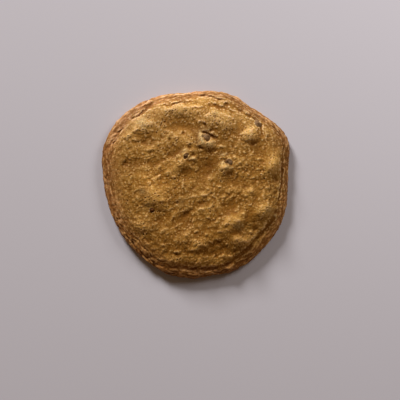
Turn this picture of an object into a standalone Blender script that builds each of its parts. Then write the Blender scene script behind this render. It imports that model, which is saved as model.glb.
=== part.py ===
"""Chocolate chip cookie: one baked round of dough, and the chocolate chips that show in its crust.

Metres, +Z up. The origin is the centre of the flat underside. Bearings are in degrees from +X, turning
towards +Y. The cookie is one solid: a thin foot round the edge, a folded shoulder, and a low crown with
lumps and hollows. Each chip is a solid of its own, seated in a pocket of its own shape.
"""

import math

import bmesh
import bpy
import numpy as np
from mathutils import Euler, Matrix

MM = 0.001

# Heights of the cross-section, from the table up.
WAIST_HEIGHT = 2.6 * MM  # where the cookie is widest
FOOT_HEIGHT = 4.5 * MM  # top of the thin foot round the edge
CROWN_HEIGHT = 11.4 * MM  # the middle, before its lumps
CROWN_POWER = 5.0  # the higher, the flatter the middle and the steeper the shoulder

# Distances in from the edge, on plan.
BASE_INSET = 2.2 * MM  # from the widest line in to the flat underside
FOOT_ROUND = 1.4 * MM  # the foot's rounded edge
LUMP_INSET = 7.0 * MM  # lumps fade out over this distance towards the edge
RIM_WIDTH = 12.0 * MM  # the mesh has finer rings over this width

# The round's radius by bearing, in millimetres: flat on the right, drawn out at upper left and upper right.
OUTLINE = (
    (0, 52.2), (13, 54.2), (24, 57.8), (32, 57.5), (44, 55.2), (55, 54.0), (66, 54.9), (76, 54.8),
    (86, 53.6), (97, 52.5), (112, 54.4), (126, 56.1), (140, 56.9), (151, 57.1), (163, 55.5), (174, 53.0),
    (187, 51.4), (200, 51.0), (212, 50.8), (226, 51.5), (240, 52.3), (253, 53.8), (265, 53.8), (279, 52.8),
    (290, 53.5), (303, 53.2), (316, 52.6), (330, 52.9), (343, 52.8), (352, 52.3),
)

# The dough rose a little off the middle: the lumps are placed on a plan of their own, shifted and drawn in.
CROWN_SHIFT_X = -0.8 * MM
CROWN_SHIFT_Y = -1.7 * MM
CROWN_SPREAD = 0.975

# Lumps and hollows of the crown, in millimetres on that plan: x, y, length, width, bearing of the length,
# height.
LUMPS = (
    (-9, 43, 10.0, 3.2, 4, 1.7),
    (-4, 24, 8.0, 4.5, -10, 0.6),
    (-28, 34, 6.0, 3.6, 20, 2.0),
    (-39, 27, 6.0, 2.6, 50, 1.0),
    (14, 36, 8.0, 4.6, -18, 2.5),
    (31, 28, 4.6, 3.8, 35, 2.7),
    (44.5, 11, 6.5, 4.2, 60, 3.0),
    (22.5, 11.5, 9.0, 2.8, 10, 0.8),
    (16.5, 8, 3.8, 3.2, 0, 1.5),
    (6, 21.5, 5.0, 3.2, -20, 1.7),
    (-7.5, 12, 7.5, 3.0, 35, 1.2),
    (-22, -7.5, 8.0, 6.0, -20, 2.4),
    (-30, -24, 5.5, 3.0, -10, 1.9),
    (39, -15.5, 5.5, 4.5, 30, 2.9),
    (40, -6.5, 3.8, 3.0, 60, 0.9),
    (21.5, -22.5, 7.0, 4.0, 35, 2.3),
    (25, -33, 5.0, 3.0, 10, 2.2),
    (-7, -31.5, 5.5, 3.0, 15, 1.0),
    (1.5, -35, 5.5, 3.2, 20, 2.0),
    (-12, -43.5, 5.0, 2.8, 10, 1.4),
    (15, -45, 8.0, 2.8, 22, 0.6),
    (5.5, -7, 4.5, 3.0, 10, 0.8),
    (31.5, -5.5, 3.8, 3.0, 45, 1.1),
    (-13, 6.5, 5.0, 3.0, -50, 0.6),
    (7, -15.5, 6.5, 2.6, 25, 0.8),
    (-7, 33, 10.0, 4.0, -8, -1.5),
    (-25, 25, 7.5, 4.5, 5, -0.8),
    (-35, 12, 6.5, 3.8, 20, -1.2),
    (-24, 12, 5.0, 2.8, 5, -0.7),
    (-13, 17.5, 7.0, 2.8, 35, -1.0),
    (6.5, 8.5, 7.5, 5.0, 60, -1.8),
    (-4, 5, 5.0, 3.5, 20, -0.9),
    (24, 31, 4.0, 3.0, 40, -0.6),
    (35, 20.5, 5.5, 3.2, 5, -0.7),
    (22, 1, 6.0, 3.4, 0, -0.8),
    (13, -38, 8.0, 4.0, 15, -1.3),
    (20, -13.5, 6.0, 3.2, 25, -1.2),
    (-5, -20, 5.5, 3.6, 40, -1.2),
    (-19, -19.5, 5.0, 3.6, 20, -0.9),
)

# Folds that follow the edge: depth, then the stations of the line as bearing and distance in from the edge.
FOLDS = (
    (1.0, ((162, 2.4), (154, 4.1), (147, 3.4), (140, 4.4), (132, 3.6), (124, 5.0), (116, 3.7), (107, 4.9),
           (98, 3.7), (91, 2.8), (84, 1.0))),
    (0.8, ((86, 6.3), (78, 6.9), (70, 7.6), (63, 6.4), (54, 6.2), (47, 4.9), (40, 5.4), (32, 6.8))),
    (0.6, ((76, 2.2), (68, 3.8), (60, 3.0), (52, 1.9), (44, 2.5), (36, 1.6))),
    (1.0, ((342, 4.6), (332, 6.0), (324, 5.4), (316, 6.9), (306, 6.0), (299, 4.9), (290, 6.1), (281, 4.4),
           (272, 3.6), (262, 2.2))),
    (0.8, ((276, 6.2), (267, 4.9), (259, 6.2), (250, 4.4), (240, 3.9), (231, 2.8))),
    (0.6, ((238, 5.9), (228, 4.3), (219, 4.9), (209, 3.6), (199, 4.7), (189, 3.4), (179, 4.6), (170, 5.6))),
    (0.5, ((22, 3.4), (12, 4.4), (3, 3.4), (354, 4.8), (345, 3.6), (336, 2.4))),
)
FOLD_WIDTH = 0.75 * MM
RIPPLE_PITCH = 2.3 * MM  # from one ripple of the shoulder to the next
RIPPLE_HEIGHT = 0.16 * MM
RIPPLE_INSET = 9.0 * MM  # how far in from the edge the ripples reach

# A chip is a blunt drop with a flat bottom, softened by baking.
CHIP_RADIUS = 4.0 * MM
CHIP_HEIGHT = 5.4 * MM
CHIP_TIP_RADIUS = 0.75 * MM
CHIP_GAP = 0.3 * MM  # between a chip and the wall of its pocket

# Each chip: name, x and y of its tip in millimetres, how far the tip stands out of the crust, its lean in
# degrees, and the bearing that it leans towards.
CHIPS = (
    ("chip_crown", 6.4, 25.2, 0.8, 30, 50),
    ("chip_crown_left", -6.2, 13.8, 0.5, 12, 200),
    ("chip_crown_right", 17.0, 11.1, 0.7, 20, 150),
    ("chip_low_left", -24.3, -16.6, 0.3, 8, 300),
    ("chip_edge", 34.8, 33.4, 0.6, 20, 40),
)

SEGMENTS = 96
CROWN_RINGS = 20
RIM_RINGS = 14
CHIP_STEPS = 14

CRUST_COLOR = (0.37, 0.18, 0.045)
CHOCOLATE_COLOR = (0.035, 0.016, 0.010)


def clear_scene():
    for obj in list(bpy.data.objects):
        bpy.data.objects.remove(obj, do_unlink=True)


def smooth_stations(stations, bearing, period=None):
    """Value at a bearing on the smooth curve through (bearing, value) stations, closed if it has a period."""
    points = sorted(stations)
    if period:
        points = [(a - period, v) for a, v in points[-2:]] + points + [(a + period, v) for a, v in points[:2]]
        bearing %= period
    for i in range(1, len(points)):
        if bearing <= points[i][0]:
            break
    (a0, v0), (a1, v1) = points[i - 1], points[i]
    before = points[max(i - 2, 0)]
    after = points[min(i + 1, len(points) - 1)]
    slope0 = (v1 - before[1]) / (a1 - before[0])
    slope1 = (after[1] - v0) / (after[0] - a0)
    t = (bearing - a0) / (a1 - a0)
    span = a1 - a0
    return (
        (2 * t**3 - 3 * t**2 + 1) * v0
        + (t**3 - 2 * t**2 + t) * span * slope0
        + (3 * t**2 - 2 * t**3) * v1
        + (t**3 - t**2) * span * slope1
    )


def edge_radius(bearing):
    """Plan radius of the widest line, measured from the outline's own pole."""
    return smooth_stations(OUTLINE, bearing, 360) * MM


def outline_centre():
    """Middle of the box round the outline, which becomes the origin."""
    angles = np.radians(np.arange(0, 360, 0.5))
    radii = np.array([edge_radius(b) for b in np.degrees(angles)])
    x = radii * np.cos(angles)
    y = radii * np.sin(angles)
    return (x.min() + x.max()) / 2, (y.min() + y.max()) / 2


CENTRE = outline_centre()
MEAN_RADIUS = sum(radius for _, radius in OUTLINE) / len(OUTLINE) * MM


def smooth_step(t):
    t = min(max(t, 0.0), 1.0)
    return t * t * (3 - 2 * t)


def fold_height(bearing, inset):
    """Depth of the folds at one place, zero or below."""
    height = 0.0
    for depth, stations in FOLDS:
        bearings = [s[0] for s in stations]
        low, high = min(bearings), max(bearings)
        if not low <= bearing <= high:
            continue
        ends = smooth_step((bearing - low) / 8) * smooth_step((high - bearing) / 8)
        line = smooth_stations(stations, bearing) * MM
        height -= depth * MM * ends * math.exp(-(((inset - line) / FOLD_WIDTH) ** 2))
    return height


def ripple_height(bearing, inset):
    """Fine ripples that run along the edge and wander as they go."""
    angle = math.radians(bearing)
    wander = 0.9 * math.sin(3 * angle + 0.6) + 0.7 * math.sin(7 * angle + 2.1) + 0.4 * math.sin(13 * angle)
    swell = 0.65 + 0.35 * math.sin(5 * angle + 1.3)
    fade = smooth_step(inset / (1.2 * MM)) * (1 - smooth_step(inset / RIPPLE_INSET))
    return RIPPLE_HEIGHT * swell * fade * math.sin(2 * math.pi * inset / RIPPLE_PITCH + 2.4 * wander)


def lump_height(x, y):
    """Sum of the lumps and hollows over a point of the plan."""
    plan_x = (x - CROWN_SHIFT_X) / CROWN_SPREAD / MM
    plan_y = (y - CROWN_SHIFT_Y) / CROWN_SPREAD / MM
    height = 0.0
    for cx, cy, length, width, bearing, rise in LUMPS:
        turn = math.radians(bearing)
        dx, dy = plan_x - cx, plan_y - cy
        along = dx * math.cos(turn) + dy * math.sin(turn)
        across = dy * math.cos(turn) - dx * math.sin(turn)
        height += rise * math.exp(-((along / length) ** 2) - (across / width) ** 2)
    return height * MM


def crust_height(bearing, inset, x, y):
    """Height of the upper crust above the table, at a place of the plan."""
    rounding = math.sqrt(1 - (1 - min(inset / FOOT_ROUND, 1.0)) ** 2)
    foot = WAIST_HEIGHT + (FOOT_HEIGHT - WAIST_HEIGHT) * rounding
    crown = (CROWN_HEIGHT - FOOT_HEIGHT) * (1 - (1 - inset / MEAN_RADIUS) ** CROWN_POWER)
    lumps = lump_height(x, y) * smooth_step(inset / LUMP_INSET)
    return foot + crown + lumps + fold_height(bearing, inset) + ripple_height(bearing, inset)


def plan_point(bearing, inset):
    """Place on plan that lies at a distance in from the edge, with the pole as the farthest in."""
    radius = edge_radius(bearing) * (1 - inset / MEAN_RADIUS)
    angle = math.radians(bearing)
    return radius * math.cos(angle) - CENTRE[0], radius * math.sin(angle) - CENTRE[1]


def crust_point(bearing, inset):
    x, y = plan_point(bearing, inset)
    return x, y, crust_height(bearing, inset, x, y)


def crust_rings():
    """Distances in from the edge of the crust's rings: close together at the folds, wide on the crown."""
    rim = np.linspace(0, 1, RIM_RINGS) ** 1.15 * RIM_WIDTH
    crown = np.linspace(RIM_WIDTH, MEAN_RADIUS, CROWN_RINGS + 1)[1:-1]
    return np.concatenate([rim, crown])


def underside_rings():
    """(distance in from the edge, height) down the undercut side, from below the waist to the table."""
    angles = np.linspace(0, math.pi / 2, 5)[1:]
    return [(BASE_INSET * (1 - math.cos(a)), WAIST_HEIGHT * (1 - math.sin(a))) for a in angles]


def add_material(obj, name, color, roughness):
    material = bpy.data.materials.new(name)
    material.use_nodes = True
    shader = material.node_tree.nodes["Principled BSDF"]
    shader.inputs["Base Color"].default_value = (*color, 1.0)
    shader.inputs["Roughness"].default_value = roughness
    shader.inputs["Metallic"].default_value = 0.0
    obj.data.materials.append(material)


def new_object(name, mesh):
    obj = bpy.data.objects.new(name, mesh)
    bpy.context.scene.collection.objects.link(obj)
    return obj


def build_cookie():
    """The baked round: rings of the crust from the middle out, then the undercut side and a flat underside."""
    bearings = np.arange(SEGMENTS) * 360 / SEGMENTS
    mesh = bmesh.new()
    middle_x, middle_y = -CENTRE[0], -CENTRE[1]
    middle = mesh.verts.new((middle_x, middle_y, CROWN_HEIGHT + lump_height(middle_x, middle_y)))
    rings = [[mesh.verts.new(crust_point(b, inset)) for b in bearings] for inset in crust_rings()[::-1]]
    rings += [[mesh.verts.new((*plan_point(b, inset), z)) for b in bearings] for inset, z in underside_rings()]
    for i in range(SEGMENTS):
        mesh.faces.new((middle, rings[0][i], rings[0][(i + 1) % SEGMENTS]))
    for inner, outer in zip(rings, rings[1:]):
        for i in range(SEGMENTS):
            j = (i + 1) % SEGMENTS
            mesh.faces.new((inner[i], outer[i], outer[j], inner[j]))
    mesh.faces.new(rings[-1][::-1])
    data = bpy.data.meshes.new("cookie")
    mesh.to_mesh(data)
    mesh.free()
    data.shade_smooth()
    cookie = new_object("cookie", data)
    add_material(cookie, "baked crust", CRUST_COLOR, 0.8)
    return cookie


def chip_profile(grow=0.0):
    """(radius, height) points of a chip's outer side, tip at height 0, with a shoulder that curves in."""
    radius = CHIP_RADIUS + grow
    bottom = -CHIP_HEIGHT - grow
    tip = CHIP_TIP_RADIUS + grow
    points = []
    for angle in np.linspace(0, math.radians(65), 4)[1:]:
        points.append((tip * math.sin(angle), grow - tip * (1 - math.cos(angle))))
    start = points[-1]
    for t in (0.25, 0.5, 0.75, 1.0):
        bulge = math.sin(t * math.pi / 2)
        points.append((start[0] + (radius - start[0]) * bulge, start[1] + (0.8 * bottom - start[1]) * t**1.3))
    points.append((0.86 * radius, bottom))
    return points


def chip_mesh(name, grow=0.0):
    """A chip turned round its own axis: a fan at the tip, quads down its side, and a flat bottom."""
    mesh = bmesh.new()
    tip = mesh.verts.new((0, 0, grow))
    angles = np.arange(CHIP_STEPS) * 2 * math.pi / CHIP_STEPS
    rings = [
        [mesh.verts.new((radius * math.cos(a), radius * math.sin(a), z)) for a in angles]
        for radius, z in chip_profile(grow)
    ]
    for i in range(CHIP_STEPS):
        mesh.faces.new((tip, rings[0][i], rings[0][(i + 1) % CHIP_STEPS]))
    for upper, lower in zip(rings, rings[1:]):
        for i in range(CHIP_STEPS):
            j = (i + 1) % CHIP_STEPS
            mesh.faces.new((upper[i], lower[i], lower[j], upper[j]))
    mesh.faces.new(rings[-1][::-1])
    data = bpy.data.meshes.new(name)
    mesh.to_mesh(data)
    mesh.free()
    return data


def crust_height_at(x, y):
    """Height of the crust over a point given from the origin."""
    dx, dy = x + CENTRE[0], y + CENTRE[1]
    bearing = math.degrees(math.atan2(dy, dx)) % 360
    inset = (1 - math.hypot(dx, dy) / edge_radius(bearing)) * MEAN_RADIUS
    return crust_height(bearing, inset, x, y)


def chip_place(x, y, stand_out, lean, bearing):
    """World matrix of a chip whose tip stands out of the crust and whose axis leans."""
    turn = Euler((0, math.radians(lean), math.radians(bearing))).to_matrix().to_4x4()
    return Matrix.Translation((x, y, crust_height_at(x, y) + stand_out)) @ turn


def build_chip(cookie, name, x, y, stand_out, lean, bearing):
    """One chip, and the pocket that it sits in, cut from the cookie by a slightly larger copy."""
    place = chip_place(x * MM, y * MM, stand_out * MM, lean, bearing)
    chip = new_object(name, chip_mesh(name))
    chip.matrix_world = place
    chip.data.shade_smooth()
    add_material(chip, "chocolate " + name, CHOCOLATE_COLOR, 0.35)
    cutter = new_object(name + "_pocket", chip_mesh(name + "_pocket", CHIP_GAP))
    cutter.matrix_world = place
    cutter.hide_render = True
    cutter.display_type = "WIRE"
    pocket = cookie.modifiers.new(name + " pocket", "BOOLEAN")
    pocket.operation = "DIFFERENCE"
    pocket.object = cutter
    return chip


def main():
    clear_scene()
    cookie = build_cookie()
    for chip in CHIPS:
        build_chip(cookie, *chip)


main()
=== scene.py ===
"""The looks of the chocolate chip cookie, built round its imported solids.

Metres, +Z up, origin at the centre of the underside. The crust is one fine mesh laid over the cookie's
solid, with its crumb, pores, wrinkles and cracks as geometry. The chips keep their own solids.
"""

import math

import bpy
import numpy as np
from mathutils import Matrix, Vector, noise
from mathutils.bvhtree import BVHTree


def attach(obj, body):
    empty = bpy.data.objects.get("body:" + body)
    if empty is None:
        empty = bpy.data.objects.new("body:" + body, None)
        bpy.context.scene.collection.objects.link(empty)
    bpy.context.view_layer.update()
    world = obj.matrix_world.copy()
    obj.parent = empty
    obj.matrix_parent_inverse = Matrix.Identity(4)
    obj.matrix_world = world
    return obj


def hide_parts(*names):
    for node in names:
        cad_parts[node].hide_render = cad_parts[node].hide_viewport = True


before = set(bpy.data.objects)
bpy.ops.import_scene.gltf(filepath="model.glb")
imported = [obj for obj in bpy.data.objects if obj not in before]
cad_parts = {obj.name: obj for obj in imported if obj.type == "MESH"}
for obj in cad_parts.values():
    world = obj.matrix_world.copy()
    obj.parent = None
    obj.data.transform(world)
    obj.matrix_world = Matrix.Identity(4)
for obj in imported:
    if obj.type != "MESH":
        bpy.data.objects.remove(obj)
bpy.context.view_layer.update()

MM = 0.001
FULL_TURN = 2 * math.pi
COOKIE = "cookie"
CHIPS = [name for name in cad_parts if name.startswith("chip_")]

# The crust's mesh: how many cells it has across, and how its lines of sight leave the solid.
CRUST_CELLS = 300
UNDERSIDE_CELLS = CRUST_CELLS // 4
WAIST_HEIGHT = 2.6 * MM
HUB_INSET = 3.0 * MM  # from the edge in to the ring that the rim's lines of sight start from
HUB_SWEEP = math.radians(168)  # from straight up to just inside the underside's edge
HUB_ARC = 9.0 * MM  # length of crust that this sweep covers
PAST_CRUST = 50 * MM  # along a line of sight, to well outside the cookie
FAR_OUT = 200 * MM  # from the origin, for rays that look inward at the waist
POCKET_RADIUS = 4.4 * MM  # round a chip's tip, where its pocket opens the solid
HEAL_PASSES = 600
FACET_PASSES = 10  # smoothing that takes out the solid's facets

# Where each chip shows through the dough that closed over it: x, y, length, width (mm), bearing (degrees).
OPENINGS = {
    "chip_crown": (5.6, 24.6, 2.3, 1.9, -50),
    "chip_crown_left": (-6.1, 13.4, 1.8, 1.1, 55),
    "chip_crown_right": (18.0, 10.4, 1.9, 1.3, -10),
    "chip_low_left": (-24.4, -16.6, 1.2, 1.1, 0),
    "chip_edge": (33.9, 32.7, 1.5, 0.65, -55),
}
OPENING_START = 0.7  # share of an opening's size that is open for sure
OPENING_FADE = 0.6  # share over which it closes
RAGGED = 0.45  # how far an opening's edge wanders, as a share of its size
CHIP_REACH = 6.0  # mm round an opening in which the chip can lie under the dough
CHIP_UNSEEN = 1.5 * MM  # below the dough, where no chip is
CHIP_PASSES = 2  # smoothing of the chip's shape under the dough
COVER = 0.25 * MM  # dough over a chip
SUNK = 0.55 * MM  # from a chip down to the dough in its opening
DOUGH_ROUNDING = 0.25 * MM


# ---------------------------------------------------------------- number fields on the crust's grid


def smooth_step(t):
    t = np.clip(t, 0, 1)
    return t * t * (3 - 2 * t)


def rising(values, start, width):
    """0 up to the start, and 1 from a width past it."""
    return smooth_step((values - start) / width)


def at_least(low, amount):
    """From low where the amount is 0 to 1 where it is 1."""
    return low + (1 - low) * amount


def soften(values, passes):
    """Blurs a square grid of values. Each pass spreads them by about 0.7 of a cell."""
    for _ in range(passes):
        padded = np.pad(values, 1, mode="edge")
        rows = (padded[:-2] + 2 * padded[1:-1] + padded[2:]) / 4
        values = (rows[:, :-2] + 2 * rows[:, 1:-1] + rows[:, 2:]) / 4
    return values


def heal(values, hole):
    """Fills the marked part of a grid smoothly from what is round it."""
    filled = values.copy()
    filled[hole] = values[~hole].mean()
    for _ in range(HEAL_PASSES):
        padded = np.pad(filled, 1, mode="edge")
        mean = (padded[:-2, 1:-1] + padded[2:, 1:-1] + padded[1:-1, :-2] + padded[1:-1, 2:]) / 4
        filled[hole] = mean[hole]
    return filled


def plain_noise(p):
    return noise.noise(p)


def rough_noise(p):
    return noise.fractal(p, 0.9, 2.1, 4)


def lumpy_noise(p):
    """Rounded bumps with narrow creases between them."""
    return noise.turbulence(p, 3, True, noise_basis="PERLIN_ORIGINAL", amplitude_scale=0.5, frequency_scale=2.1)


def cell_distance(p):
    return noise.voronoi(p)[0][0]


# Noise patterns: the function, the size of its features (mm, per axis or for all) and the seed.
PATTERNS = {
    # on the rim, as round the edge twice and then inward
    "wander": (plain_noise, (14, 14, 9), 1),
    "fine wander": (plain_noise, (3.5, 3.5, 3.5), 20),
    "wrinkles": (plain_noise, (6.0, 6.0, 1.7), 2),
    "fine wrinkles": (plain_noise, (2.6, 2.6, 0.9), 3),
    "threads": (plain_noise, (11, 11, 1.3), 14),
    "flakes": (cell_distance, (2.6, 2.6, 1.3), 21),
    # on the crown
    "jitter x": (plain_noise, 4.5, 11),
    "jitter y": (plain_noise, 4.5, 12),
    "fine shift x": (plain_noise, 1.8, 17),
    "fine shift y": (plain_noise, 1.8, 18),
    "broken": (plain_noise, 4, 19),
    "bulges": (lumpy_noise, 5.0, 4),
    "domes": (cell_distance, 2.5, 10),
    "cobbles": (cell_distance, 1.3, 15),
    "coarse": (plain_noise, 9, 13),
    "grain": (rough_noise, 1.1, 5),
    "streaks": (plain_noise, 2.2, 6),
    "pore zone": (plain_noise, 7, 8),
    "pores": (cell_distance, 1.7, 7),
    "ragged": (rough_noise, 1.7, 16),
    # on the underside
    "pits": (rough_noise, 2.5, 9),
    "scorch": (rough_noise, 11, 14),
}
SEED_STEP = 17.3  # how far apart the noise of two seeds is read
DOME_LEVEL = 0.3  # what brings the domes to about level on average


def pattern(name, points):
    """A noise pattern's value at each point."""
    function, size, seed = PATTERNS[name]
    scaled = points / (np.array(size) * MM) + seed * SEED_STEP
    values = [function(Vector(p)) for p in scaled.reshape(-1, 3)]
    return np.array(values).reshape(points.shape[:-1])


def levelled(name, points, contrast, level):
    """A pattern's value with its contrast, round its level."""
    return contrast * pattern(name, points) + level


def cell_domes(name, points):
    """A rounded dome on each cell of a pattern."""
    return DOME_LEVEL - pattern(name, points) ** 2


def turned(x, y, bearing):
    """Places measured along a bearing in degrees, and across it."""
    turn = math.radians(bearing)
    return x * math.cos(turn) + y * math.sin(turn), y * math.cos(turn) - x * math.sin(turn)


def oval(x, y, middle_x, middle_y, length, width, bearing):
    """Square of the distance from an oval's middle: 1 on the oval."""
    along, across = turned(x - middle_x, y - middle_y, bearing)
    return (along / length) ** 2 + (across / width) ** 2


def disc_grid(cells):
    """Share of the radius and bearing for each point of a square grid bent to a disc."""
    side = np.linspace(-1, 1, cells + 1)
    u, v = np.meshgrid(side, side, indexing="ij")
    wide = abs(u) >= abs(v)
    safe_u = np.where(u == 0, 1, u)
    safe_v = np.where(v == 0, 1, v)
    reach = np.where(wide, u, v)
    turn = np.where(wide, math.pi / 4 * v / safe_u, math.pi / 2 - math.pi / 4 * u / safe_v)
    return abs(reach), np.arctan2(reach * np.sin(turn), reach * np.cos(turn))


def border(cells):
    """Grid places round the square's border, in order."""
    run = np.arange(cells)
    zero = np.zeros(cells, int)
    full = np.full(cells, cells)
    return (
        np.concatenate([run, full, cells - run, zero]),
        np.concatenate([zero, run, full, cells - run]),
    )


# ---------------------------------------------------------------- the crust's base, from the solids


def solid_tree(name):
    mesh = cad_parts[name].data
    return BVHTree.FromPolygons([v.co for v in mesh.vertices], [p.vertices for p in mesh.polygons])


def chip_tip(name):
    """Highest point of a chip's solid."""
    return max((v.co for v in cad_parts[name].data.vertices), key=lambda p: p.z)


class Crust:
    """The grid of the crust: lines of sight that start inside the solid, and the solid's surface on them."""

    def __init__(self):
        self.tree = solid_tree(COOKIE)
        share, self.bearing = disc_grid(CRUST_CELLS)
        outward = np.stack([np.cos(self.bearing), np.sin(self.bearing), 0 * share], axis=-1)
        hub = self.edge_reach() - HUB_INSET
        along = share * (hub + HUB_ARC)
        self.sweep = np.clip((along - hub) / HUB_ARC, 0, 1) * HUB_SWEEP
        self.start = outward * np.minimum(along, hub)[..., None] + np.array([0, 0, WAIST_HEIGHT])
        self.way = outward * np.sin(self.sweep)[..., None] + np.array([0, 0, 1]) * np.cos(self.sweep)[..., None]
        # Distance along the crust, inward from the waist.
        self.inward = hub + HUB_ARC * (math.pi / 2) / HUB_SWEEP - along
        self.depth = self.surface_depth()
        self.base = self.start + self.way * self.depth[..., None]

    def edge_reach(self):
        """Plan radius of the solid's widest line at each point's bearing."""
        turns = np.radians(np.arange(0, 360, 0.5))
        reach = []
        for turn in turns:
            x, y = math.cos(turn), math.sin(turn)
            origin = Vector((FAR_OUT * x, FAR_OUT * y, WAIST_HEIGHT))
            reach.append(self.tree.ray_cast(origin, Vector((-x, -y, 0)))[3])
        return np.interp(self.bearing % FULL_TURN, turns, FAR_OUT - np.array(reach), period=FULL_TURN)

    def surface_depth(self):
        """How far along each line of sight the solid's outside is, with the chips' openings healed over."""
        outside = self.start + self.way * PAST_CRUST
        rays = zip(outside.reshape(-1, 3), -self.way.reshape(-1, 3))
        hits = [self.tree.ray_cast(Vector(o), Vector(d))[3] for o, d in rays]
        gaps = np.array([PAST_CRUST if hit is None else hit for hit in hits])
        depth = PAST_CRUST - gaps.reshape(self.bearing.shape)
        pockets = np.zeros(depth.shape, bool)
        for name in CHIPS:
            tip = chip_tip(name)
            pockets |= np.hypot(self.start[..., 0] - tip.x, self.start[..., 1] - tip.y) < POCKET_RADIUS
        return self.close_over_chips(soften(heal(depth, pockets), FACET_PASSES))

    def chip_depth(self, name, places, depth):
        """How far up a chip's solid reaches at these places, and a little under the dough at all others."""
        tree = solid_tree(name)
        chip = depth - CHIP_UNSEEN
        for i, j in places:
            above = Vector((*self.start[i, j, :2], PAST_CRUST))
            hit = tree.ray_cast(above, Vector((0, 0, -1)))[0]
            if hit is not None:
                chip[i, j] = max(chip[i, j], hit.z - WAIST_HEIGHT)
        return soften(chip, CHIP_PASSES)

    def close_over_chips(self, depth):
        """Raises the dough over each chip, and lowers it where the chip shows."""
        x, y = self.start[..., 0] / MM, self.start[..., 1] / MM
        ragged = RAGGED * pattern("ragged", self.start)
        self.shown = np.zeros(depth.shape)
        for name, (middle_x, middle_y, *size) in OPENINGS.items():
            places = np.argwhere(np.hypot(x - middle_x, y - middle_y) < CHIP_REACH)
            chip = self.chip_depth(name, places, depth)
            distance = np.sqrt(oval(x, y, middle_x, middle_y, *size)) + ragged
            shown = 1 - rising(distance, OPENING_START, OPENING_FADE)
            lid = chip + COVER
            raised = np.maximum(depth, lid) + DOUGH_ROUNDING * np.exp(-abs(depth - lid) / DOUGH_ROUNDING) / 2
            depth = raised + (chip - SUNK - raised) * shown
            self.shown = np.maximum(self.shown, shown)
        return depth


crust = Crust()
plan = crust.base
z_mm = crust.base[..., 2] / MM
inward_mm = crust.inward / MM

# Places on the crown were chosen as the camera sees them, so height shifts and spreads them a little.
LAYOUT_X = -0.8
LAYOUT_Y = 0.12
LAYOUT_LEAN = 0.16  # shift towards +Y for each mm of height
LAYOUT_SPREAD = 0.997  # at the height of the origin
LAYOUT_DRAW = 0.0025  # less spread for each mm of height
layout_spread = LAYOUT_SPREAD - LAYOUT_DRAW * z_mm
x_mm = (crust.base[..., 0] / MM - LAYOUT_X) / layout_spread
y_mm = (crust.base[..., 1] / MM - LAYOUT_Y + LAYOUT_LEAN * z_mm) / layout_spread


# ---------------------------------------------------------------- what was placed one by one

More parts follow.
